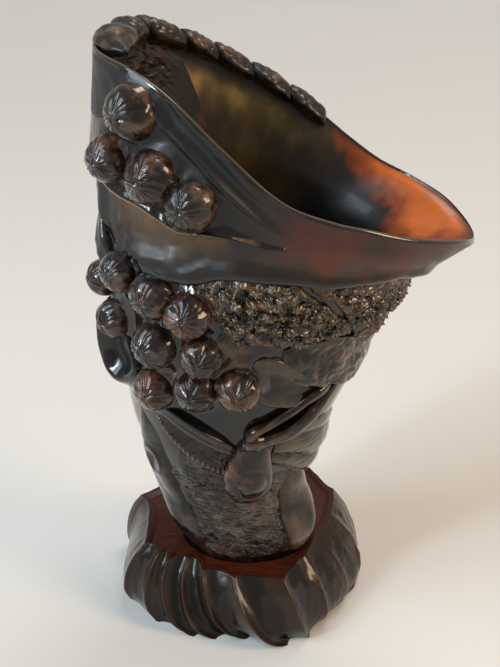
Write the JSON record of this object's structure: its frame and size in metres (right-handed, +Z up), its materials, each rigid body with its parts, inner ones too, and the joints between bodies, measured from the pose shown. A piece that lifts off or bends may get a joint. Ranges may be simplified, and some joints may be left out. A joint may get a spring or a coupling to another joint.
{
  "type": "libation cup",
  "caption": "Tall slanted drinking cup carved from dark horn with leaves, fruit and branches, standing in a fluted oval wooden stand.",
  "frame": {"origin": "on the flat underside of the stand, below the middle of the stand's length", "axes": "+Z up, +X towards the spout, -Y towards the side with the fruit"},
  "size_m": [0.119, 0.0893, 0.202],
  "materials": {
    "dark_horn": "polished dark brown horn",
    "leaf_horn": "polished dark brown horn",
    "twig_horn": "polished red-brown horn",
    "berry_horn": "satin brown horn",
    "fruit_horn": "polished dark brown horn",
    "stand_wood": "polished dark red-brown wood"
  },
  "bodies": {
    "stand": {"stand": "stand_wood"},
    "cup": {"horn_bowl": "dark_horn", "rim_leaf": "leaf_horn", "leaf_blade": "leaf_horn", "cradle_leaf": "leaf_horn", "upper_fruit_1": "fruit_horn", "upper_fruit_2": "fruit_horn", "upper_fruit_3": "fruit_horn", "upper_fruit_4": "fruit_horn", "lower_fruit_1": "fruit_horn", "lower_fruit_2": "fruit_horn", "lower_fruit_3": "fruit_horn", "lower_fruit_4": "fruit_horn", "lower_fruit_5": "fruit_horn", "lower_fruit_6": "fruit_horn", "lower_fruit_7": "fruit_horn", "lower_fruit_8": "fruit_horn", "lower_fruit_9": "fruit_horn", "lower_fruit_10": "fruit_horn", "front_berries": "berry_horn", "side_berries": "berry_horn", "flap_leaf": "leaf_horn", "side_leaf": "leaf_horn", "bent_twig": "twig_horn", "bud": "twig_horn", "left_stem": "dark_horn", "rear_column": "dark_horn", "curled_leaf": "dark_horn", "serrated_leaf": "leaf_horn", "folded_leaf": "leaf_horn", "back_leaf": "leaf_horn", "back_branch": "twig_horn", "foot_lobe": "dark_horn", "rock_foot": "dark_horn"}
  },
  "joints": [
    {"name": "cup_lift", "type": "slide", "parent": "stand", "child": "cup", "axis": [0, 0, 1], "range_m": [0, 0.04]}
  ]
}
